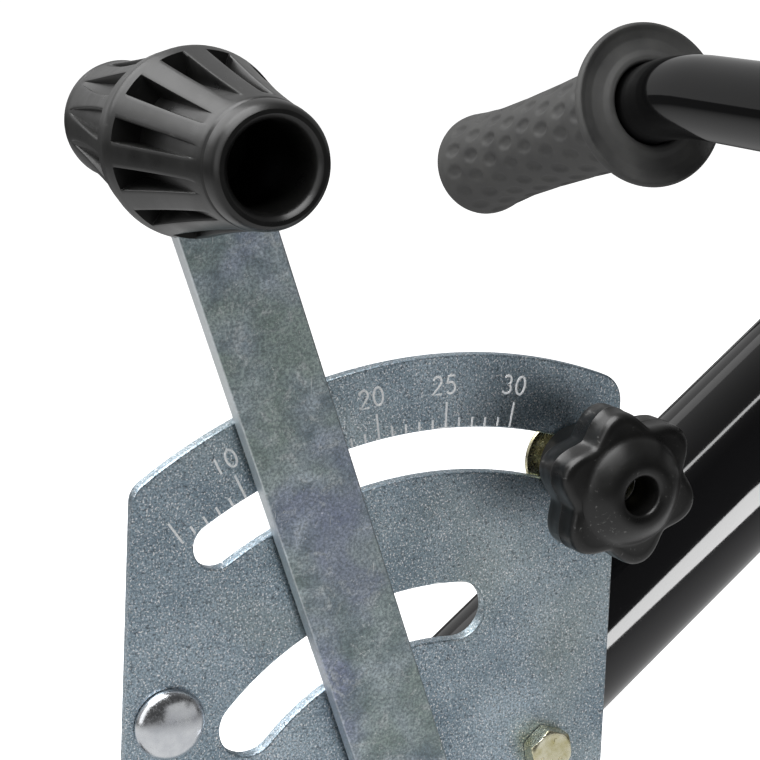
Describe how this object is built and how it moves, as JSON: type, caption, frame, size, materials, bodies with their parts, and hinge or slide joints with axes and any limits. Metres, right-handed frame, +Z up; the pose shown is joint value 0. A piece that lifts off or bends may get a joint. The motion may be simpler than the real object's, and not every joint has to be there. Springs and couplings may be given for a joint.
{
  "type": "graduated control lever and handlebar",
  "caption": "Handle of a walk-behind machine: tube with handlebar and grips, a slotted zinc quadrant with a scale, a lever with T-grip, control rod and star-knob stop.",
  "frame": {"origin": "centre of the foot flange's underside", "axes": "+Z up; +X from the foot towards the handlebar; the handlebar lies along Y; the quadrant plate faces -Y"},
  "size_m": [0.4239, 0.6458, 0.3083],
  "materials": {
    "zinc_plate": "blue zinc plate, speckled, satin",
    "zinc_lever": "dull zinc plate with scuffs and faint blue and olive tints",
    "bright_zinc": "bright zinc plate",
    "yellow_zinc": "yellow passivated zinc plate",
    "black_paint": "gloss black powder coat",
    "black_plastic": "satin moulded black plastic",
    "black_rubber": "matt dimpled black rubber",
    "white_nylon": "natural nylon"
  },
  "bodies": {
    "frame": {"main_tube": "black_paint", "foot_flange": "black_paint", "foot_gusset": "black_paint", "stay_strap": "black_paint", "clamp_saddle": "black_paint", "clamp_cap": "black_paint", "clamp_bolt_1": "bright_zinc", "clamp_bolt_2": "bright_zinc", "clamp_bolt_3": "bright_zinc", "clamp_bolt_4": "bright_zinc", "handlebar": "black_paint", "grip_near": "black_rubber", "grip_far": "black_rubber", "quadrant_plate": "zinc_plate", "plate_bolt": "yellow_zinc", "plate_bolt_nut": "yellow_zinc", "plate_bolt_saddle_front": "black_plastic", "plate_bolt_saddle_rear": "black_plastic", "cup_bolt": "bright_zinc", "cup_bolt_nut": "bright_zinc", "pivot_bolt": "bright_zinc", "pivot_nut": "bright_zinc", "pivot_saddle_front": "black_plastic", "pivot_saddle_rear": "black_plastic", "pivot_spacer": "white_nylon"},
    "lever": {"lever_bar": "zinc_lever", "pivot_bush": "white_nylon", "pivot_washer": "bright_zinc", "lever_grip": "black_plastic", "lever_grip_screw": "bright_zinc", "link_pin": "bright_zinc", "link_roller": "white_nylon", "link_washer": "bright_zinc", "link_sleeve": "bright_zinc", "link_end_washer": "bright_zinc", "link_nut": "bright_zinc"},
    "rod": {"rod_eye": "bright_zinc", "control_rod": "bright_zinc", "rod_lock_nut_upper": "bright_zinc", "rod_lock_nut_lower": "bright_zinc", "rod_fork": "bright_zinc"},
    "stop": {"stop_bolt": "yellow_zinc"},
    "knob": {"star_knob": "black_plastic", "knob_insert": "bright_zinc"}
  },
  "joints": [
    {"name": "lever_swing", "type": "hinge", "parent": "frame", "child": "lever", "pos_m": [0.14833, -0.025, 0.125], "axis": [0, -1, 0], "range_deg": [-12, 21]},
    {"name": "rod_pivot", "type": "hinge", "parent": "lever", "child": "rod", "pos_m": [0.12845, 0.005, 0.18013], "axis": [0, -1, 0], "range_deg": [-21.5, 12.5]},
    {"name": "stop_slide", "type": "hinge", "parent": "frame", "child": "stop", "pos_m": [0.14833, -0.025, 0.125], "axis": [0, -1, 0], "range_deg": [0, 15.5]},
    {"name": "knob_turn", "type": "hinge", "parent": "stop", "child": "knob", "pos_m": [0.1808, -0.04, 0.21471], "axis": [0, -1, 0], "range_deg": [0, 360]}
  ],
  "couplings": [
    {"joint": "rod_pivot", "follows": "lever_swing", "ratio": -1}
  ]
}
